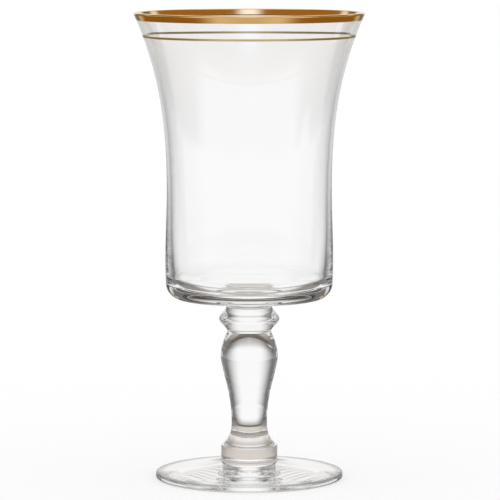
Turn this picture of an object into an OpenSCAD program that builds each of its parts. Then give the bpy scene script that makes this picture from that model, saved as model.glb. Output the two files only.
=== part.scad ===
// Water goblet of clear glass: a flared bowl on a collar, a baluster stem and a round foot,
// with a gold band over the lip and a gold hairline below it.
// Millimetres, +Z up, origin at the centre of the foot's underside.
// Every piece is turned about the Z axis, and the pieces are stacked from the foot up.

/* [Foot] */
// Diameter of the foot
foot_d = 76.6; // [66:0.2:90]
// Height of the foot at its joint with the stem
foot_h = 5.6; // [4.6:0.1:8]
// Thickness of the foot at its edge
foot_edge_t = 2.6; // [2.2:0.1:3.4]
// Radius of the rounded upper and lower edge of the foot
foot_edge_r = 0.9; // [0.4:0.1:1]
// How steeply the top of the foot climbs near the stem
foot_climb = 1.4; // [1:0.1:2.5]
// Diameter of the shallow hollow under the foot
hollow_d = 58; // [40:1:60]
// Depth of the hollow under the foot at its centre
hollow_depth = 1.0; // [0.2:0.1:1.6]

/* [Stem] */
// Height of the stem between the foot and the collar
stem_h = 54.7; // [48:0.1:62]
// Diameter of the base knop, the drum at the bottom of the stem
base_knop_d = 23.1; // [19:0.1:28]
// Height of the base knop's shoulder above the foot joint
shoulder_up = 8.1; // [6:0.1:10]
// Radius of the base knop's shoulder
shoulder_r = 0.8; // [0.4:0.1:1.2]
// Radius of the tuck where the base knop meets the foot
tuck_r = 1.4; // [0.8:0.1:2]
// Diameter of the neck, the thinnest place of the stem
neck_d = 14.5; // [11:0.1:17]
// Height of the neck above the foot joint
neck_up = 17.6; // [15:0.1:20]
// Diameter of the baluster, the swelling of the stem
baluster_d = 23.4; // [19:0.1:30]
// Height of the widest place of the baluster above the foot joint
baluster_up = 44.4; // [38:0.1:46]
// Diameter of the crease where the stem meets the collar
crease_d = 17.9; // [14:0.1:18.5]

/* [Collar] */
// Diameter of the collar over its ridge
collar_d = 24.6; // [20:0.1:30]
// Height of each sloping side of the collar
collar_side_h = 5.3; // [4:0.1:7]
// Diameter of the short straight throat under the bowl
throat_d = 18.5; // [15:0.1:19.5]
// Height of the throat
throat_h = 2; // [1:0.1:4]

/* [Bowl] */
// Height of the bowl from its joint with the collar to the gilded lip
bowl_h = 117.6; // [100:0.2:130]
// Diameter of the wall at the lip
rim_d = 93.4; // [86:0.2:104]
// Diameter at the waist, the narrowest place of the wall
waist_d = 67.2; // [60:0.1:72]
// Height of the waist above the joint with the collar
waist_up = 45.8; // [38:0.2:52]
// How late the wall flares towards the lip
flare_power = 2.4; // [1.8:0.1:3]
// Diameter at the belly, a slight swelling below the waist
belly_d = 68.5; // [62:0.1:73]
// Height of the belly above the joint with the collar
belly_up = 16.6; // [14:0.2:22]
// Diameter where the bottom corner meets the wall
heel_d = 68.1; // [61:0.1:72]
// Radius of the bottom corner of the bowl
corner_r = 6.3; // [5:0.1:9]
// Rise of the underside towards the corner, in degrees
underside_rise = 4.4; // [2:0.1:6]
// Thickness of the glass at the lip
lip_t = 1.6; // [1.4:0.1:2.2]
// Radius of the softened edges of the lip
lip_edge_r = 0.5; // [0.2:0.05:0.6]
// Thickness of the glass at the bottom of the wall
wall_t = 3.8; // [2.4:0.1:4.2]
// How fast the glass thins above the bottom of the wall
wall_thinning = 4.5; // [1:0.1:6]
// Thickness of the floor of the bowl over the joint
floor_t = 5.7; // [5:0.1:8]
// Rise of the middle of the floor inside the bowl
floor_dome = 0.25; // [0:0.05:0.8]
// Radius of the inner corner between the floor and the wall
inner_corner_r = 5.6; // [2:0.1:7]

/* [Gold] */
// Width of the gold band on the outside of the lip
band_out = 3; // [1.5:0.1:5]
// Width of the gold band on the inside of the lip
band_in = 3; // [1.5:0.1:5]
// Depth of the hairline's upper edge below the gilded lip
hairline_drop = 9.2; // [7:0.1:14]
// Width of the hairline
hairline_w = 0.8; // [0.5:0.1:1.5]
// Thickness of the gold, far more than a fired film has
gold_t = 0.1; // [0.06:0.01:0.2]

/* [Hidden] */
$fn = 96;

// Colours of the clear glass and of the fired gold
glass_colour = [0.90, 0.94, 0.94, 0.4];
gold_colour = [0.80, 0.62, 0.30];

// Points along each stretch of an outline
coarse = 24;
fine = 10;

// Heights of the joints between the pieces
stem_z = foot_h;
collar_z = stem_z + stem_h;
bowl_z = collar_z + 2 * collar_side_h + throat_h;
height = bowl_z + bowl_h;

// Radii and heights on the bowl
rim_r = rim_d / 2;
waist_r = waist_d / 2;
belly_r = belly_d / 2;
heel_r = heel_d / 2;
waist_z = bowl_z + waist_up;
belly_z = bowl_z + belly_up;
joint_r = throat_d / 2;
// The underside is a shallow dish: it climbs ever more steeply from the joint to the corner
corner_start_r = heel_r - corner_r + corner_r * sin(underside_rise);
dish_h = tan(underside_rise) * (corner_start_r - joint_r * joint_r / corner_start_r) / 2;
heel_z = bowl_z + dish_h + corner_r * cos(underside_rise);
floor_z = bowl_z + floor_t;

// The lip is cut level, with a softened edge on both sides
lip_z = height - gold_t;
lip_slope = atan(flare_power * (rim_r - waist_r) / (lip_z - waist_z));
wall_top_z = lip_z - lip_edge_r * (1 + sin(lip_slope));
inner_top_z = lip_z - lip_edge_r * (1 - sin(lip_slope)) - lip_t * sin(lip_slope);
hairline_top_z = height - hairline_drop;
hairline_low_z = hairline_top_z - hairline_w;
band_low_z = height - band_out;
band_inner_z = height - band_in;

// Runs from 0 to 1 with level ends
function ease(t) = (1 - cos(180 * t)) / 2;
// n steps from a up to but not including b
function spread(a, b, n) = [for (i = [0 : n - 1]) a + (b - a) * i / n];
// Points of an arc about a centre, both ends included
function arc(c, r, from, to, n) =
    [for (i = [0 : n]) let (a = from + (to - from) * i / n) c + r * [cos(a), sin(a)]];
function reversed(list) = [for (i = [len(list) - 1 : -1 : 0]) list[i]];

// Outer radius of the bowl's wall at a height
function wall_r(z) =
    z < belly_z ? heel_r + (belly_r - heel_r) * sin(90 * (z - heel_z) / (belly_z - heel_z)) :
    z < waist_z ? belly_r + (waist_r - belly_r) * ease((z - belly_z) / (waist_z - belly_z)) :
    waist_r + (rim_r - waist_r) * pow((z - waist_z) / (wall_top_z - waist_z), flare_power);
// Lean of the wall from upright at a height, in degrees
function wall_lean(z) = let (d = 0.02) atan((wall_r(z) - wall_r(z - d)) / d);
function wall_normal(z) = let (lean = wall_lean(z)) [cos(lean), -sin(lean)];
// The glass thins from the bottom of the wall to the lip, most of all low down
function glass_t(z) =
    lip_t + (wall_t - lip_t) * pow((wall_top_z - z) / (wall_top_z - heel_z), wall_thinning);
function outer_point(z) = [wall_r(z), z];
function inner_point(z) = outer_point(z) - glass_t(z) * wall_normal(z);

// Heights along the wall, up the outside and down the inside, with a stop at each edge of the gold
// so that gold and glass share points
below_hairline = spread(heel_z, hairline_low_z, 2 * coarse);
under_hairline = spread(hairline_low_z, hairline_top_z, 2);
between_gold = spread(hairline_top_z, band_low_z, 4);
under_band = spread(band_low_z, wall_top_z, 4);
inner_band = reversed(spread(band_inner_z, inner_top_z, 4));
inner_foot_z = floor_z + inner_corner_r;
inner_wall = reversed(spread(inner_foot_z, band_inner_z, 2 * coarse));

// Lip: outer softened edge, level top, inner softened edge, grown by the thickness of the gold
outer_edge_c = outer_point(wall_top_z) - lip_edge_r * wall_normal(wall_top_z);
inner_edge_c = inner_point(inner_top_z) + lip_edge_r * wall_normal(inner_top_z);
function lip(grow) = concat(
    arc(outer_edge_c, lip_edge_r + grow, -wall_lean(wall_top_z), 90, fine),
    arc(inner_edge_c, lip_edge_r + grow, 90, 180 - wall_lean(inner_top_z), fine));

// Outside of the bowl from the joint to the top of the wall
function underside() =
    [for (r = spread(joint_r, corner_start_r, fine))
        [r, bowl_z + tan(underside_rise) * (r * r - joint_r * joint_r) / (2 * corner_start_r)]];
function corner() =
    arc([heel_r - corner_r, heel_z], corner_r, -90 + underside_rise, -90 / (2 * fine), 2 * fine);
// Inside of the bowl from the foot of the inner wall to the middle of the floor
function floor_corner() =
    let (r = inner_point(inner_foot_z)[0] - inner_corner_r)
    concat(
        arc([r, inner_foot_z], inner_corner_r, -5, -90, fine),
        [for (t = spread(0, 1, fine)) if (t > 0) [r * (1 - t), floor_z + floor_dome * ease(t)]],
        [[0, floor_z + floor_dome]]);

module bowl() {
    outside = [for (z = concat(below_hairline, under_hairline, between_gold, under_band)) outer_point(z)];
    inside = [for (z = concat(inner_band, inner_wall)) inner_point(z)];
    color(glass_colour)
        rotate_extrude()
            polygon(concat([[0, bowl_z]], underside(), corner(), outside, lip(0), inside, floor_corner()));
}

// Bright gold fired over the lip: down the outside, across the level top and down the inside
module gold_rim_band() {
    glass_side = concat(
        [for (z = under_band) outer_point(z)],
        lip(0),
        [for (z = inner_band) inner_point(z)]);
    air_side = concat(
        [for (z = under_band) outer_point(z) + gold_t * wall_normal(z)],
        lip(gold_t),
        [for (z = inner_band) inner_point(z) - gold_t * wall_normal(z)]);
    color(gold_colour)
        rotate_extrude()
            polygon(concat(glass_side, reversed(air_side)));
}

// Thin gold line banded round the outside of the wall
module gold_hairline() {
    line_z = concat(under_hairline, [hairline_top_z]);
    glass_side = [for (z = line_z) outer_point(z)];
    air_side = [for (z = line_z) outer_point(z) + gold_t * wall_normal(z)];
    color(gold_colour)
        rotate_extrude()
            polygon(concat(glass_side, reversed(air_side)));
}

// Knop with a soft ridge between the crease of the stem and the throat under the bowl
module collar() {
    crease_r = crease_d / 2;
    ridge_r = collar_d / 2;
    low = [for (t = spread(0, 1, coarse))
        [crease_r + (ridge_r - crease_r) * ease(t), collar_z + collar_side_h * t]];
    high = [for (t = spread(0, 1, coarse))
        [ridge_r + (joint_r - ridge_r) * ease(t), collar_z + collar_side_h * (1 + t)]];
    throat = [[joint_r, bowl_z - throat_h], [joint_r, bowl_z]];
    color(glass_colour)
        rotate_extrude()
            polygon(concat([[0, collar_z]], low, high, throat, [[0, bowl_z]]));
}

// Base knop, slender neck and baluster in one run of glass
module stem() {
    knop_r = base_knop_d / 2;
    neck_r = neck_d / 2;
    belly = baluster_d / 2;
    crease_r = crease_d / 2;
    shoulder_z = stem_z + shoulder_up;
    neck_z = stem_z + neck_up;
    baluster_z = stem_z + baluster_up;
    // The drum of the base knop: tucked in at the foot, rounded at its shoulder
    tuck = arc([knop_r - tuck_r, stem_z + tuck_r * sin(60)], tuck_r, -60, 0, fine);
    shoulder = arc([knop_r - shoulder_r, shoulder_z - shoulder_r], shoulder_r, 0, 62, fine);
    // The hollow sweep from the shoulder up to the neck
    sweep_r = shoulder[fine][0];
    sweep_z = shoulder[fine][1];
    sweep_power = 3;
    sweep = [for (t = spread(1, 0, coarse)) if (t < 1)
        [neck_r + (sweep_r - neck_r) * pow(t, sweep_power), neck_z + (sweep_z - neck_z) * t]];
    // The baluster swells early and rounds over to the crease
    swell_power = 0.75;
    swell = [for (z = spread(neck_z, baluster_z, 2 * coarse))
        [belly + (neck_r - belly) * ease(pow((baluster_z - z) / (baluster_z - neck_z), swell_power)), z]];
    round_over = [for (z = spread(baluster_z, collar_z, coarse))
        [crease_r + (belly - crease_r) * sin(90 * (collar_z - z) / (collar_z - baluster_z)), z]];
    color(glass_colour)
        rotate_extrude()
            polygon(concat([[0, stem_z]], tuck, shoulder, sweep, swell, round_over,
                [[crease_r, collar_z], [0, collar_z]]));
}

// Round foot: a ring to stand on, a shallow hollow inside it and a top that climbs to the stem
module foot() {
    foot_r = foot_d / 2;
    hollow_r = hollow_d / 2;
    stem_r = base_knop_d / 2 - tuck_r * (1 - cos(60));
    edge_c = foot_r - foot_edge_r;
    hollow = [for (r = spread(0, hollow_r, fine))
        [r, hollow_depth * (1 - (r * r) / (hollow_r * hollow_r))]];
    low_edge = arc([edge_c, foot_edge_r], foot_edge_r, -90, 0, fine);
    high_edge = arc([edge_c, foot_edge_t - foot_edge_r], foot_edge_r, 0, 84, fine);
    top_start = high_edge[fine];
    top = [for (t = spread(0, 1, coarse)) if (t > 0)
        [top_start[0] + (stem_r - top_start[0]) * t, top_start[1] + (foot_h - top_start[1]) * pow(t, foot_climb)]];
    color(glass_colour)
        rotate_extrude()
            polygon(concat(hollow, [[hollow_r, 0]], low_edge, high_edge, top, [[stem_r, foot_h], [0, foot_h]]));
}

foot();
stem();
collar();
bowl();
gold_rim_band();
gold_hairline();
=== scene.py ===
from collections import namedtuple
from math import atan, cos, pi, radians, sin, tan

import bpy
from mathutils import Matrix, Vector


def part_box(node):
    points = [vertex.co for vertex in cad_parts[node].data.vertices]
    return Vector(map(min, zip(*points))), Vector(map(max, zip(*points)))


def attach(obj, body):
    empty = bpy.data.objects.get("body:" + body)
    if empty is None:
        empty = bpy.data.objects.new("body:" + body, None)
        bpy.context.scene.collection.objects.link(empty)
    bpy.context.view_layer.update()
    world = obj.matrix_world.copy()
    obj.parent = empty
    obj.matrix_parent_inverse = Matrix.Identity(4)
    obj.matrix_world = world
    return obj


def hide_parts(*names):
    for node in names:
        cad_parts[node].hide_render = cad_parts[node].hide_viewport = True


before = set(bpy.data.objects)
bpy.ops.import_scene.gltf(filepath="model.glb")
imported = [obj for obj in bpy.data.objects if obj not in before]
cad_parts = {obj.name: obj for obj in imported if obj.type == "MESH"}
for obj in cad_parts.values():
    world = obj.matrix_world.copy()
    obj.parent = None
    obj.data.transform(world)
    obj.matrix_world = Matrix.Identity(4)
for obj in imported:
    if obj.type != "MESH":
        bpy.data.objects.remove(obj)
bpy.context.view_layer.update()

MM = 0.001

# Heights of the joints, of the gold and of the lip, read from the solids, in millimetres
stem_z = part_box("stem")[0].z / MM
collar_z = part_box("collar")[0].z / MM
bowl_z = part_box("bowl")[0].z / MM
lip_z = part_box("bowl")[1].z / MM
band_low_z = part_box("gold_rim_band")[0].z / MM
gilded_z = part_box("gold_rim_band")[1].z / MM
hairline_low_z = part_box("gold_hairline")[0].z / MM
hairline_top_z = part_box("gold_hairline")[1].z / MM

# Foot, in millimetres
foot_r = 38.3
foot_edge_t = 2.6
foot_edge_r = 0.9
foot_edge_turn = radians(84)
foot_climb = 1.4
hollow_r = 29
hollow_depth = 1.0

# Stem, in millimetres
knop_r = 11.55
shoulder_z = stem_z + 8.1
shoulder_r = 0.8
shoulder_turn = radians(62)
tuck_r = 1.4
tuck_turn = radians(60)
neck_r = 7.25
neck_z = stem_z + 17.6
sweep_power = 3
baluster_r = 11.7
baluster_z = stem_z + 44.4
swell_power = 0.75
crease_r = 8.95

# Collar, in millimetres
ridge_r = 12.3
collar_side_h = 5.3
joint_r = 9.25

# Bowl, in millimetres
rim_r = 46.7
waist_r = 33.6
waist_z = bowl_z + 45.8
flare_power = 2.4
belly_r = 34.25
belly_z = bowl_z + 16.6
heel_r = 34.05
corner_r = 6.3
underside_rise = radians(4.4)
lip_t = 1.6
lip_edge_r = 0.5
wall_t = 3.8
wall_thinning = 4.5
floor_z = bowl_z + 5.7
inner_corner_r = 5.6
floor_dome = 0.25

# Gold, in millimetres. Its glass side is sunk a little into the glass, so that the two touch
gold_t = 0.1
gold_sink = 0.02
band_inside_w = 3

# Fineness of the turned meshes: sides round the axis, steps along a long curve and along a short one
ROUND = 256
COARSE = 48
FINE = 16

# The least turn that shows as a crease, and how far off its height a joint's face may lie, in millimetres
crease_angle = radians(30)
joint_play = 0.001

# Heights and radii that follow from those above
corner_start_r = heel_r - corner_r + corner_r * sin(underside_rise)
dish_h = tan(underside_rise) * (corner_start_r - joint_r ** 2 / corner_start_r) / 2
heel_z = bowl_z + dish_h + corner_r * cos(underside_rise)
lip_slope = atan(flare_power * (rim_r - waist_r) / (lip_z - waist_z))
wall_top_z = lip_z - lip_edge_r * (1 + sin(lip_slope))
inner_top_z = lip_z - lip_edge_r * (1 - sin(lip_slope)) - lip_t * sin(lip_slope)
band_in_z = gilded_z - band_inside_w


# The outlines are lists of (radius, height) in millimetres, anticlockwise


def ease(t):
    """Runs from 0 to 1 with level ends."""
    return (1 - cos(pi * t)) / 2


def spread(a, b, n):
    """n steps from a up to but not including b."""
    return [a + (b - a) * i / n for i in range(n)]


def arc(centre, r, start, end, n):
    """Points of an arc about a centre, both ends included."""
    turns = [start + (end - start) * i / n for i in range(n + 1)]
    return [(centre[0] + r * cos(a), centre[1] + r * sin(a)) for a in turns]


def wall_r(z):
    """Outer radius of the bowl's wall at a height."""
    if z < belly_z:
        return heel_r + (belly_r - heel_r) * sin(pi / 2 * (z - heel_z) / (belly_z - heel_z))
    if z < waist_z:
        return belly_r + (waist_r - belly_r) * ease((z - belly_z) / (waist_z - belly_z))
    return waist_r + (rim_r - waist_r) * ((z - waist_z) / (wall_top_z - waist_z)) ** flare_power


def wall_lean(z):
    """Lean of the wall from upright at a height."""
    rise = 0.02
    return atan((wall_r(z) - wall_r(z - rise)) / rise)


def wall_t_at(z):
    """The glass thins from the bottom of the wall to the lip, most of all low down."""
    return lip_t + (wall_t - lip_t) * ((wall_top_z - z) / (wall_top_z - heel_z)) ** wall_thinning


def off_wall(z, out):
    """A point that far outside the wall's outer face, or inside where it is negative."""
    lean = wall_lean(z)
    return (wall_r(z) + out * cos(lean), z - out * sin(lean))


def lip(grow):
    """The level lip with its two softened edges, grown by that much."""
    outer = off_wall(wall_top_z, -lip_edge_r)
    inner = off_wall(inner_top_z, lip_edge_r - wall_t_at(inner_top_z))
    return (arc(outer, lip_edge_r + grow, -wall_lean(wall_top_z), pi / 2, FINE)
            + arc(inner, lip_edge_r + grow, pi / 2, pi - wall_lean(inner_top_z), FINE))


def bowl_outline():
    """Dished underside, round corner, flared wall, lip, inside of the wall and domed floor."""
    rise = tan(underside_rise) / (2 * corner_start_r)
    underside = [(r, bowl_z + rise * (r ** 2 - joint_r ** 2))
                 for r in spread(joint_r, corner_start_r, COARSE)]
    corner = arc((heel_r - corner_r, heel_z), corner_r, underside_rise - pi / 2, 0, 2 * FINE)
    outside = [off_wall(z, 0) for z in spread(heel_z, wall_top_z, 2 * COARSE)[1:]]
    inner_foot_z = floor_z + inner_corner_r
    inside = [off_wall(z, -wall_t_at(z)) for z in spread(inner_top_z, inner_foot_z, 2 * COARSE)[1:]]
    floor_r = off_wall(inner_foot_z, -wall_t_at(inner_foot_z))[0] - inner_corner_r
    floor_corner = arc((floor_r, inner_foot_z), inner_corner_r, 0, -pi / 2, 2 * FINE)
    floor = [(r, floor_z + floor_dome * ease(1 - r / floor_r)) for r in spread(floor_r, 0, COARSE)[1:]]
    return [(0, bowl_z), *underside, *corner, *outside, *lip(0), *inside, *floor_corner, *floor,
            (0, floor_z + floor_dome)]


def collar_outline():
    """Up from the crease to the soft ridge, back to the throat and up to the bowl."""
    low = [(crease_r + (ridge_r - crease_r) * ease(t), collar_z + collar_side_h * t)
           for t in spread(0, 1, COARSE)]
    high = [(ridge_r + (joint_r - ridge_r) * ease(t), collar_z + collar_side_h * (1 + t))
            for t in spread(0, 1, COARSE)]
    throat = [(joint_r, z) for z in spread(collar_z + 2 * collar_side_h, bowl_z, FINE)]
    return [(0, collar_z), *low, *high, *throat, (joint_r, bowl_z), (0, bowl_z)]


def stem_outline():
    """Drum-like knop, sweep to the neck, baluster swelling and its round top."""
    tuck = arc((knop_r - tuck_r, stem_z + tuck_r * sin(tuck_turn)), tuck_r, -tuck_turn, 0, FINE)
    shoulder = arc((knop_r - shoulder_r, shoulder_z - shoulder_r), shoulder_r, 0, shoulder_turn, FINE)
    sweep_r, sweep_z = shoulder[-1]
    sweep = [(neck_r + (sweep_r - neck_r) * t ** sweep_power, neck_z + (sweep_z - neck_z) * t)
             for t in spread(1, 0, COARSE)[1:]]
    swell_t = [(z, ((baluster_z - z) / (baluster_z - neck_z)) ** swell_power)
               for z in spread(neck_z, baluster_z, 2 * COARSE)]
    swell = [(baluster_r + (neck_r - baluster_r) * ease(t), z) for z, t in swell_t]
    over_h = collar_z - baluster_z
    round_over = [(crease_r + (baluster_r - crease_r) * sin(pi / 2 * (collar_z - z) / over_h), z)
                  for z in spread(baluster_z, collar_z, COARSE)]
    return [(0, stem_z), *tuck, *shoulder, *sweep, *swell, *round_over, (crease_r, collar_z), (0, collar_z)]


def foot_outline():
    """Shallow hollow below, rounded edge, and a top that climbs to the stem."""
    stem_r = knop_r - tuck_r * (1 - cos(tuck_turn))
    edge_c = foot_r - foot_edge_r
    hollow = [(r, hollow_depth * (1 - (r / hollow_r) ** 2)) for r in spread(0, hollow_r, COARSE)]
    low_edge = arc((edge_c, foot_edge_r), foot_edge_r, -pi / 2, 0, FINE)
    high_edge = arc((edge_c, foot_edge_t - foot_edge_r), foot_edge_r, 0, foot_edge_turn, FINE)
    start_r, start_z = high_edge[-1]
    top = [(start_r + (stem_r - start_r) * t, start_z + (stem_z - start_z) * t ** foot_climb)
           for t in spread(0, 1, 2 * COARSE)[1:]]
    return [*hollow, (hollow_r, 0), *low_edge, *high_edge, *top, (stem_r, stem_z), (0, stem_z)]


def band_outline():
    """The gold's air side up the outside, over the lip and down the inside, and its glass side back."""
    outside = spread(band_low_z, wall_top_z, FINE)
    inside = spread(inner_top_z, band_in_z, FINE)[1:] + [band_in_z]
    air_side = ([off_wall(z, gold_t) for z in outside] + lip(gold_t)
                + [off_wall(z, -wall_t_at(z) - gold_t) for z in inside])
    glass_side = ([off_wall(z, -gold_sink) for z in outside] + lip(-gold_sink)
                  + [off_wall(z, gold_sink - wall_t_at(z)) for z in inside])
    return air_side + glass_side[::-1]


def hairline_outline():
    """A thin strip of gold on the outside of the wall."""
    heights = spread(hairline_low_z, hairline_top_z, FINE // 4) + [hairline_top_z]
    air_side = [off_wall(z, gold_t) for z in heights]
    glass_side = [off_wall(z, -gold_sink) for z in heights]
    return air_side + glass_side[::-1]


def linear(code):
    """An sRGB hex colour as linear RGBA."""
    parts = [int(code[i:i + 2], 16) / 255 for i in (1, 3, 5)]
    return [c / 12.92 if c <= 0.04045 else ((c + 0.055) / 1.055) ** 2.4 for c in parts] + [1]


def add(tree, kind, inputs=None, **settings):
    """Adds a node with its settings. Each input takes a value, or a socket to link from."""
    node = tree.nodes.new(kind)
    for name, value in settings.items():
        setattr(node, name, value)
    for name, value in (inputs or {}).items():
        if isinstance(value, bpy.types.NodeSocket):
            tree.links.new(value, node.inputs[name])
        else:
            node.inputs[name].default_value = value
    return node


def blank(name):
    """A material with an empty node tree."""
    material = bpy.data.materials.new(name)
    material.use_nodes = True
    material.node_tree.nodes.clear()
    return material


def fire_polished_glass(name, cord_mm, cord_depth_mm):
    """Soda-lime glass, blown or tooled and then fire-polished: clear and mirror-smooth, so that it shows
    its surroundings bent, with faint cords where the hot glass flowed."""
    material = blank(name)
    tree = material.node_tree
    place = add(tree, "ShaderNodeTexCoord").outputs["Object"]
    cords = add(tree, "ShaderNodeMapping", {"Vector": place, "Scale": [1 / (mm * MM) for mm in cord_mm]})
    noise = add(tree, "ShaderNodeTexNoise", {"Vector": cords.outputs[0], "Scale": 1.0, "Detail": 1.0})
    bump = add(tree, "ShaderNodeBump", {
        "Height": noise.outputs["Fac"], "Distance": cord_depth_mm * MM, "Strength": 1.0})
    glass = add(tree, "ShaderNodeBsdfPrincipled", {
        "Base Color": linear("#FEFEFE"),
        "Roughness": 0.0,
        "IOR": 1.52,
        "Transmission Weight": 1.0,
        "Normal": bump.outputs[0],
    })
    add(tree, "ShaderNodeOutputMaterial", {"Surface": glass.outputs[0]})
    return material


def fused_joint():
    """Where two pieces of glass were stuck together hot, the eye sees no surface at all."""
    material = blank("fused_joint")
    tree = material.node_tree
    clear = add(tree, "ShaderNodeBsdfTransparent")
    add(tree, "ShaderNodeOutputMaterial", {"Surface": clear.outputs[0]})
    return material


def bright_fired_gold(name, thin, thick, matt_from, matt_to):
    """Liquid bright gold, banded on with a brush and fired: mirror-like, with faint streaks of the brush."""
    material = blank(name)
    tree = material.node_tree
    # The brush's hairs leave streaks about 0.1 mm wide, drawn coarser here so that they show
    streak_mm = (25, 25, 0.5)
    streak_depth_mm = 0.002
    place = add(tree, "ShaderNodeTexCoord").outputs["Object"]
    streaks = add(tree, "ShaderNodeMapping", {"Vector": place, "Scale": [1 / (mm * MM) for mm in streak_mm]})
    noise = add(tree, "ShaderNodeTexNoise", {"Vector": streaks.outputs[0], "Scale": 1.0, "Detail": 2.0})
    colour = add(tree, "ShaderNodeMix", {
        "Factor": noise.outputs["Fac"], "A": linear(thin), "B": linear(thick)}, data_type="RGBA")
    matt = add(tree, "ShaderNodeMapRange", {
        "Value": noise.outputs["Fac"], "To Min": matt_from, "To Max": matt_to})
    bump = add(tree, "ShaderNodeBump", {
        "Height": noise.outputs["Fac"], "Distance": streak_depth_mm * MM, "Strength": 1.0})
    gold = add(tree, "ShaderNodeBsdfPrincipled", {
        "Base Color": colour.outputs["Result"],
        "Metallic": 1.0,
        "Roughness": matt.outputs[0],
        "Normal": bump.outputs[0],
    })
    add(tree, "ShaderNodeOutputMaterial", {"Surface": gold.outputs[0]})
    return material


def turn(outline, ring):
    """Vertices and faces of an outline turned about the Z axis. A ring outline never touches the axis."""
    points, faces, rows = [], [], []
    for r, z in outline:
        if r == 0:
            rows.append([len(points)] * ROUND)
            points.append((0, 0, z * MM))
        else:
            rows.append(range(len(points), len(points) + ROUND))
            points += [(r * MM * cos(a), r * MM * sin(a), z * MM) for a in spread(0, 2 * pi, ROUND)]
    pairs = list(zip(rows, rows[1:])) + ([(rows[-1], rows[0])] if ring else [])
    for low, high in pairs:
        for i in range(ROUND):
            j = (i + 1) % ROUND
            corners = (low[i], low[j], high[j], high[i])
            faces.append(tuple(dict.fromkeys(corners)))
    return points, faces


def piece(name, node, outline, material, ring=False, joints=()):
    """A turned piece that stands for a CAD node. Its level faces at the joints are fused."""
    points, faces = turn(outline, ring)
    mesh = bpy.data.meshes.new(name)
    mesh.from_pydata(points, [], faces)
    mesh.materials.append(material)
    if joints:
        mesh.materials.append(fused)
        for face in mesh.polygons:
            heights = [points[v][2] / MM for v in face.vertices]
            if any(all(abs(h - z) < joint_play for h in heights) for z in joints):
                face.material_index = 1
    mesh.shade_smooth()
    mesh.set_sharp_from_angle(angle=crease_angle)
    made = bpy.data.objects.new(name, mesh)
    bpy.context.collection.objects.link(made)
    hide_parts(node)
    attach(made, "root")


fused = fused_joint()
gold = bright_fired_gold("bright_fired_gold", "#E4BC7A", "#F0CC8C", 0.08, 0.2)
thin_gold = bright_fired_gold("thin_fired_gold", "#D6C48E", "#E2D2A0", 0.25, 0.35)
blown = fire_polished_glass("blown_glass", (9, 9, 90), 0.004)
tooled = fire_polished_glass("tooled_glass", (20, 20, 20), 0.001)

piece("foot_glass", "foot", foot_outline(), tooled, joints=(stem_z,))
piece("stem_glass", "stem", stem_outline(), tooled, joints=(stem_z, collar_z))
piece("collar_glass", "collar", collar_outline(), tooled, joints=(collar_z, bowl_z))
piece("bowl_glass", "bowl", bowl_outline(), blown, joints=(bowl_z,))
piece("rim_gold", "gold_rim_band", band_outline(), gold, ring=True)
piece("hairline_gold", "gold_hairline", hairline_outline(), thin_gold, ring=True)


# The stage: white paper to the eye, and the surroundings that the glass and the gold show

WHITE = "#FCFCFC"
PALE = "#FAFAFA"
SHADE = "#676767"

# A patch of colour fades in along each of its ramps, from nothing at the start to all of it at the full end,
# softly or else evenly
SOFT, EVEN = "SMOOTHSTEP", "LINEAR"
Ramp = namedtuple("Ramp", "measure start full fade", defaults=(SOFT,))


def patchwork(tree, ground, patches, measures, unit):
    """A ground colour with patches laid over it in turn. A patch shows where all of its ramps overlap."""
    colour = linear(ground)
    for tone, ramps in patches:
        share = 1.0
        for ramp in ramps:
            share = add(tree, "ShaderNodeMapRange", {
                "Value": measures[ramp.measure], "To Max": share,
                "From Min": ramp.start * unit, "From Max": ramp.full * unit},
                interpolation_type=ramp.fade).outputs[0]
        colour = add(tree, "ShaderNodeMix", {"Factor": share, "A": colour, "B": linear(tone)},
                     data_type="RGBA").outputs["Result"]
    return colour


# Beige board under the goblet, in millimetres from the axis: its edges, and how softly three of them end
board_front, board_back, board_side = -230, 108, 160
board_fade = 60
BOARD = "#D8D0C8"
BOARD_PATCHES = [
    # Painted shade, darker to the left and right; paler in front; and a painted shadow, grey under the stem
    ("#85807A", [Ramp("aside", 5, 70)]),
    ("#EFEDEA", [Ramp("back", 35, -5)]),
    ("#98938C", [Ramp("away", 23, 12)]),
    # A ring of painted light under the foot, and a painted shadow in a dark ring round its edge
    ("#F0ECE8", [Ramp("away", 19, 28), Ramp("away", 37, 34)]),
    ("#8F8C88", [Ramp("away", 34, 37), Ramp("away", 45, 40)]),
    # Dark along the back edge
    ("#5A5650", [Ramp("back", board_back - 30, board_back - 14, EVEN), Ramp("aside", 90, 50)]),
]
# In front of the foot the board is in shade, for the glass alone
shade_start, shade_full = -38, -70


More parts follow.
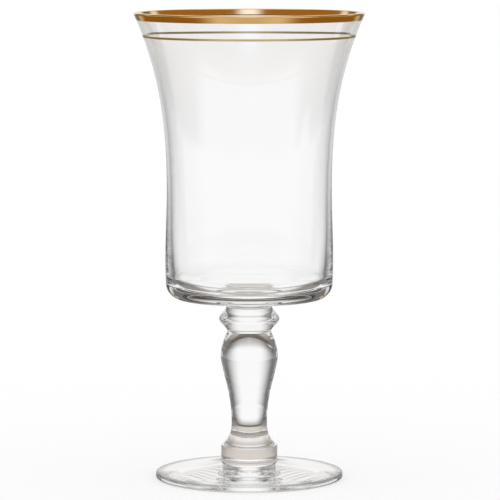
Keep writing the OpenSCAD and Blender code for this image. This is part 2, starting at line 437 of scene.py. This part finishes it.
def beige_board(tree, measures, ray):
    """The board that the glass and the gold show under the goblet, and where it lies."""
    colour = patchwork(tree, BOARD, BOARD_PATCHES, measures, MM)
    shaded = add(tree, "ShaderNodeMapRange", {
        "Value": measures["back"], "From Min": shade_start * MM, "From Max": shade_full * MM},
        interpolation_type=SOFT).outputs[0]
    shaded = add(tree, "ShaderNodeMath", {0: shaded, 1: ray["Is Transmission Ray"]},
                 operation="MULTIPLY").outputs[0]
    colour = add(tree, "ShaderNodeMix", {"Factor": shaded, "A": colour, "B": linear(SHADE)},
                 data_type="RGBA").outputs["Result"]
    # The board glows with this colour, so its light and shade are painted into it
    board = add(tree, "ShaderNodeEmission", {"Color": colour, "Strength": 1.0})
    in_width = add(tree, "ShaderNodeMapRange", {
        "Value": measures["aside"],
        "From Min": (board_side + board_fade) * MM, "From Max": (board_side - board_fade) * MM},
        interpolation_type=SOFT).outputs[0]
    in_depth = add(tree, "ShaderNodeMapRange", {
        "Value": measures["back"],
        "From Min": (board_front - board_fade) * MM, "From Max": (board_front + board_fade) * MM},
        interpolation_type=SOFT).outputs[0]
    in_back = add(tree, "ShaderNodeMath", {0: measures["back"], 1: board_back * MM},
                  operation="LESS_THAN").outputs[0]
    on_board = add(tree, "ShaderNodeMath", {0: in_width, 1: in_depth}, operation="MULTIPLY").outputs[0]
    on_board = add(tree, "ShaderNodeMath", {0: on_board, 1: in_back}, operation="MULTIPLY").outputs[0]
    return board, on_board


# Paper beyond the board, which the glass shows, glowing with painted light: a wedge behind the goblet that
# widens as it goes back, and flanks to the left and right. Next to the board the paper is darker, with
# painted shade.
# Angles are from straight behind, lengths in millimetres, and the widening is for each millimetre back
PAPER_IN_PAINTED_SHADE = "#A09E9A"
FLANK = "#E0E0E0"
wedge_edge, wedge_full = radians(50), radians(13)
wedge_slant_edge, wedge_slant_full = 0.8, 0.4
wedge_widening = 0.0025
paper_lit = 60
flank_start, flank_full = radians(58), radians(68)
flank_near, flank_far = 250, 300
flank_nearer_in_front = 0.15
flank_white_in_front = -300


def lit_paper(tree, measures, ray):
    """The wedge and the flanks. Everything else beyond the board lets the room show."""
    back, aside, away = measures["back"], measures["aside"], measures["away"]
    angle = add(tree, "ShaderNodeMath", {0: aside, 1: back}, operation="ARCTAN2").outputs[0]
    wedge = add(tree, "ShaderNodeMapRange", {
        "Value": angle, "From Min": wedge_edge, "From Max": wedge_full},
        interpolation_type=SOFT).outputs[0]
    widened = add(tree, "ShaderNodeMath", {0: back, 1: wedge_widening / MM, 2: 1.0},
                  operation="MULTIPLY_ADD").outputs[0]
    width = add(tree, "ShaderNodeMath", {0: back, 1: widened}, operation="MULTIPLY").outputs[0]
    slant = add(tree, "ShaderNodeMath", {0: aside, 1: width}, operation="DIVIDE").outputs[0]
    slant = add(tree, "ShaderNodeMath", {0: slant}, operation="SQRT").outputs[0]
    narrow = add(tree, "ShaderNodeMapRange", {
        "Value": slant, "From Min": wedge_slant_edge, "From Max": wedge_slant_full},
        interpolation_type=SOFT).outputs[0]
    behind = add(tree, "ShaderNodeMath", {0: narrow, 1: wedge}, operation="MINIMUM").outputs[0]
    # Painted shade on the paper next to the board, fading to white further back
    lit = add(tree, "ShaderNodeMapRange", {
        "Value": back, "From Min": board_back * MM, "From Max": (board_back + paper_lit) * MM}).outputs[0]
    colour = add(tree, "ShaderNodeMix", {"Factor": lit, "A": linear(PAPER_IN_PAINTED_SHADE), "B": linear(WHITE)},
                 data_type="RGBA").outputs["Result"]
    to_side = add(tree, "ShaderNodeMapRange", {
        "Value": angle, "From Min": flank_start, "From Max": flank_full},
        interpolation_type=SOFT).outputs[0]
    in_front = add(tree, "ShaderNodeMath", {0: back, 1: 0.0}, operation="MINIMUM").outputs[0]
    reach = add(tree, "ShaderNodeMath", {0: in_front, 1: flank_nearer_in_front, 2: away},
                operation="MULTIPLY_ADD").outputs[0]
    far_off = add(tree, "ShaderNodeMapRange", {
        "Value": reach, "From Min": flank_near * MM, "From Max": flank_far * MM},
        interpolation_type=SOFT).outputs[0]
    flank = add(tree, "ShaderNodeMath", {0: to_side, 1: far_off}, operation="MULTIPLY").outputs[0]
    whiter = add(tree, "ShaderNodeMapRange", {
        "Value": back, "From Min": 0.0, "From Max": flank_white_in_front * MM}).outputs[0]
    flank_colour = add(tree, "ShaderNodeMix", {"Factor": whiter, "A": linear(FLANK), "B": linear(WHITE)},
                       data_type="RGBA").outputs["Result"]
    colour = add(tree, "ShaderNodeMix", {"Factor": flank, "A": colour, "B": flank_colour},
                 data_type="RGBA").outputs["Result"]
    either = add(tree, "ShaderNodeMath", {0: behind, 1: flank}, operation="MAXIMUM").outputs[0]
    share = add(tree, "ShaderNodeMath", {0: either, 1: ray["Is Transmission Ray"]},
                operation="MULTIPLY").outputs[0]
    clear = add(tree, "ShaderNodeBsdfTransparent")
    paper = add(tree, "ShaderNodeEmission", {"Color": colour, "Strength": 1.0})
    return add(tree, "ShaderNodeMixShader", {0: share, 1: clear.outputs[0], 2: paper.outputs[0]})


# Paper floor: half its width in metres, and how far it lies under the foot in millimetres
PAPER = "#B3B3B3"
paper_glow = 0.55
floor_half_m = 30
floor_drop = 0.05


def paper_floor():
    """A wide sheet of matt white paper, lit through from below, so that the goblet's shadow is faint and
    soft. In the glass and the gold, the beige board and the lit paper stand in its place."""
    half, z = floor_half_m, -floor_drop * MM
    mesh = bpy.data.meshes.new("floor")
    mesh.from_pydata([(-half, -half, z), (half, -half, z), (half, half, z), (-half, half, z)],
                     [], [(0, 1, 2, 3)])
    material = blank("white_paper")
    tree = material.node_tree
    ray = add(tree, "ShaderNodeLightPath").outputs
    place = add(tree, "ShaderNodeNewGeometry").outputs["Position"]
    axes = add(tree, "ShaderNodeSeparateXYZ", {0: place}).outputs
    level = add(tree, "ShaderNodeCombineXYZ", {"X": axes["X"], "Y": axes["Y"]}).outputs[0]
    measures = {
        "back": axes["Y"],
        "aside": add(tree, "ShaderNodeMath", {0: axes["X"]}, operation="ABSOLUTE").outputs[0],
        "away": add(tree, "ShaderNodeVectorMath", {0: level}, operation="LENGTH").outputs["Value"],
    }
    matt = add(tree, "ShaderNodeBsdfDiffuse", {"Color": linear(PAPER)})
    glow = add(tree, "ShaderNodeEmission", {"Strength": paper_glow})
    paper = add(tree, "ShaderNodeAddShader", {0: matt.outputs[0], 1: glow.outputs[0]})
    board, on_board = beige_board(tree, measures, ray)
    beyond = lit_paper(tree, measures, ray)
    shown = add(tree, "ShaderNodeMixShader", {0: on_board, 1: beyond.outputs[0], 2: board.outputs[0]})
    seen = add(tree, "ShaderNodeMixShader", {
        0: ray["Is Glossy Ray"], 1: paper.outputs[0], 2: shown.outputs[0]})
    add(tree, "ShaderNodeOutputMaterial", {"Surface": seen.outputs[0]})
    mesh.materials.append(material)
    floor = bpy.data.objects.new("floor", mesh)
    bpy.context.collection.objects.link(floor)


# Low white cards that hang level behind the goblet, left and right: height and reach in millimetres,
# and their two ends as angles from straight behind
card_z, card_near_r, card_far_r = 20, 52, 130
card_start, card_end = radians(16), radians(43)
CARD = "#F0F0F0"


def white_cards():
    """Two low cards of white paper, which only the glass of the foot shows. They face up, and the glass
    sees them from below."""
    points, faces = [], []
    step = (card_end - card_start) / FINE
    for side in (-1, 1):
        for a in spread(card_start, card_end, FINE):
            corners = ((a, card_near_r), (a, card_far_r), (a + step, card_far_r), (a + step, card_near_r))
            faces.append(range(len(points), len(points) + 4))
            points += [(side * r * sin(t) * MM, r * cos(t) * MM, card_z * MM) for t, r in corners[::-side]]
    mesh = bpy.data.meshes.new("white_cards")
    mesh.from_pydata(points, [], faces)
    material = blank("white_card")
    tree = material.node_tree
    ray = add(tree, "ShaderNodeLightPath").outputs
    from_below = add(tree, "ShaderNodeNewGeometry").outputs["Backfacing"]
    shown = add(tree, "ShaderNodeMath", {0: ray["Is Transmission Ray"], 1: from_below},
                operation="MULTIPLY").outputs[0]
    clear = add(tree, "ShaderNodeBsdfTransparent")
    # The cards give off a painted white light of their own
    white = add(tree, "ShaderNodeEmission", {"Color": linear(CARD), "Strength": 1.0})
    seen = add(tree, "ShaderNodeMixShader", {0: shown, 1: clear.outputs[0], 2: white.outputs[0]})
    add(tree, "ShaderNodeOutputMaterial", {"Surface": seen.outputs[0]})
    mesh.materials.append(material)
    cards = bpy.data.objects.new("white_cards", mesh)
    bpy.context.collection.objects.link(cards)


# The dim room round the stage, as patches over the direction of sight: Y is straight behind and Z is up.
# The glass shows it with a pale front
ROOM_IN_GLASS = [("#E4E4E4", [Ramp("Y", -0.1, -0.4, EVEN), Ramp("Z", 0.5, 0.3, EVEN)])]
ROOM_IN_GOLD = [
    # Wood above and below
    ("#A67C36", [Ramp("Z", 0.2, 0.35, EVEN)]),
    ("#906A26", [Ramp("Z", -0.2, -0.35, EVEN)]),
    # White in a low strip at the sides, and in front
    (WHITE, [Ramp("Y", 0.7, 0.5, EVEN), Ramp("Z", -0.24, -0.18, EVEN), Ramp("Z", 0, -0.06, EVEN)]),
    (WHITE, [Ramp("Y", -0.2, -0.5, EVEN), Ramp("Z", 0.42, 0.28, EVEN), Ramp("Z", -0.65, -0.45, EVEN)]),
]

# Soft lights in the room: azimuth (0 straight behind, 90 to the right) and elevation of the middle, radius
# of the full light and of its end, all in degrees, then the colour, the strength, and the share of the light
# that is left below the horizon
Light = namedtuple("Light", "azimuth elevation full end colour strength below", defaults=(PALE, 1, 1))
CEILING = Light(0, 90, 25, 40)
LIGHTS_IN_GLASS = [
    Light(0, 10, 13, 47, WHITE, below=0), Light(0, 57, 8, 20, WHITE),
    Light(-90, -3, 8, 13), Light(-45, -30, 9, 13), Light(135, -16, 9, 14),
    Light(180, 42, 6, 32, "#E8E8E8"), CEILING,
]
LIGHTS_IN_GOLD = [
    Light(0, 10, 20, 30, below=0.4), Light(0, 35, 25, 35),
    # Cool lamps high in front and high behind
    Light(180, 42, 4, 16, "#B3C7FF", 2.9), Light(0, 50, 12, 20, "#C3D1FF", 2.2),
    # Pairs behind, left and right: dull ones low down and cool ones higher up
    Light(-32, -17, 3, 9, "#CBC3AE"), Light(32, -17, 3, 9, "#CBC3AE"),
    Light(-52, 19, 3, 9, "#DEE3FF", 1.5), Light(52, 19, 3, 9, "#DEE3FF", 1.5), CEILING,
]
horizon_fade = 0.04


def studio():
    """Plain white light from all round. The glass and the gold each show a room with soft lights in it."""
    world = bpy.data.worlds.new("studio")
    bpy.context.scene.world = world
    world.use_nodes = True
    # Light that comes evenly from all round needs no map of where it is brightest
    world.cycles.sampling_method = "NONE"
    tree = world.node_tree
    tree.nodes.clear()
    ray = add(tree, "ShaderNodeLightPath").outputs
    way = add(tree, "ShaderNodeTexCoord").outputs["Generated"]
    axes = add(tree, "ShaderNodeSeparateXYZ", {0: way}).outputs
    rooms = []
    for patches, lights in ((ROOM_IN_GLASS, LIGHTS_IN_GLASS), (ROOM_IN_GOLD, LIGHTS_IN_GOLD)):
        room = patchwork(tree, SHADE, patches, axes, 1)
        for light in lights:
            a, e = radians(light.azimuth), radians(light.elevation)
            aim = [sin(a) * cos(e), cos(a) * cos(e), sin(e)]
            near = add(tree, "ShaderNodeVectorMath", {0: way, 1: aim},
                       operation="DOT_PRODUCT").outputs["Value"]
            off = add(tree, "ShaderNodeMath", {0: near}, operation="ARCCOSINE").outputs[0]
            share = add(tree, "ShaderNodeMapRange", {
                "Value": off, "From Min": radians(light.end), "From Max": radians(light.full)},
                interpolation_type=SOFT).outputs[0]
            if light.below < 1:
                horizon = add(tree, "ShaderNodeMapRange", {
                    "Value": axes["Z"], "From Min": -horizon_fade, "From Max": 0.0, "To Min": light.below})
                share = add(tree, "ShaderNodeMath", {0: share, 1: horizon.outputs[0]},
                            operation="MULTIPLY").outputs[0]
            shine = [c * light.strength for c in linear(light.colour)]
            room = add(tree, "ShaderNodeMix", {"Factor": share, "A": room, "B": shine},
                       data_type="RGBA").outputs["Result"]
        rooms.append(room)
    in_glass, in_gold = rooms
    shown = add(tree, "ShaderNodeMix", {"Factor": ray["Is Transmission Ray"], "A": in_gold, "B": in_glass},
                data_type="RGBA").outputs["Result"]
    colour = add(tree, "ShaderNodeMix", {"Factor": ray["Is Glossy Ray"], "A": linear("#FFFFFF"), "B": shown},
                 data_type="RGBA").outputs["Result"]
    back = add(tree, "ShaderNodeBackground", {"Color": colour, "Strength": 1.0})
    add(tree, "ShaderNodeOutputWorld", {"Surface": back.outputs[0]})


# A long lens a little above the rim, aimed at the middle of the goblet
lens_mm, sensor_mm = 237.1, 36
camera_place = Vector((0.0003, -1.33665, 0.23477))
camera_aim = Vector((0.0003, 0, 0.093635))
sight_m = 100


def camera():
    """The goblet fills the picture from lip to foot, seen a little from above."""
    data = bpy.data.cameras.new("camera")
    data.lens = lens_mm
    data.sensor_width = sensor_mm
    data.clip_end = sight_m
    made = bpy.data.objects.new("camera", data)
    bpy.context.collection.objects.link(made)
    made.location = camera_place
    made.rotation_euler = (camera_aim - camera_place).to_track_quat("-Z", "Y").to_euler()
    bpy.context.scene.camera = made


paper_floor()
white_cards()
studio()
camera()

scene = bpy.context.scene
scene.view_settings.view_transform = "Standard"
# Light turns back many times inside the thick glass
scene.cycles.max_bounces = 32
scene.cycles.glossy_bounces = 24
scene.cycles.transmission_bounces = 32
scene.cycles.transparent_max_bounces = 32
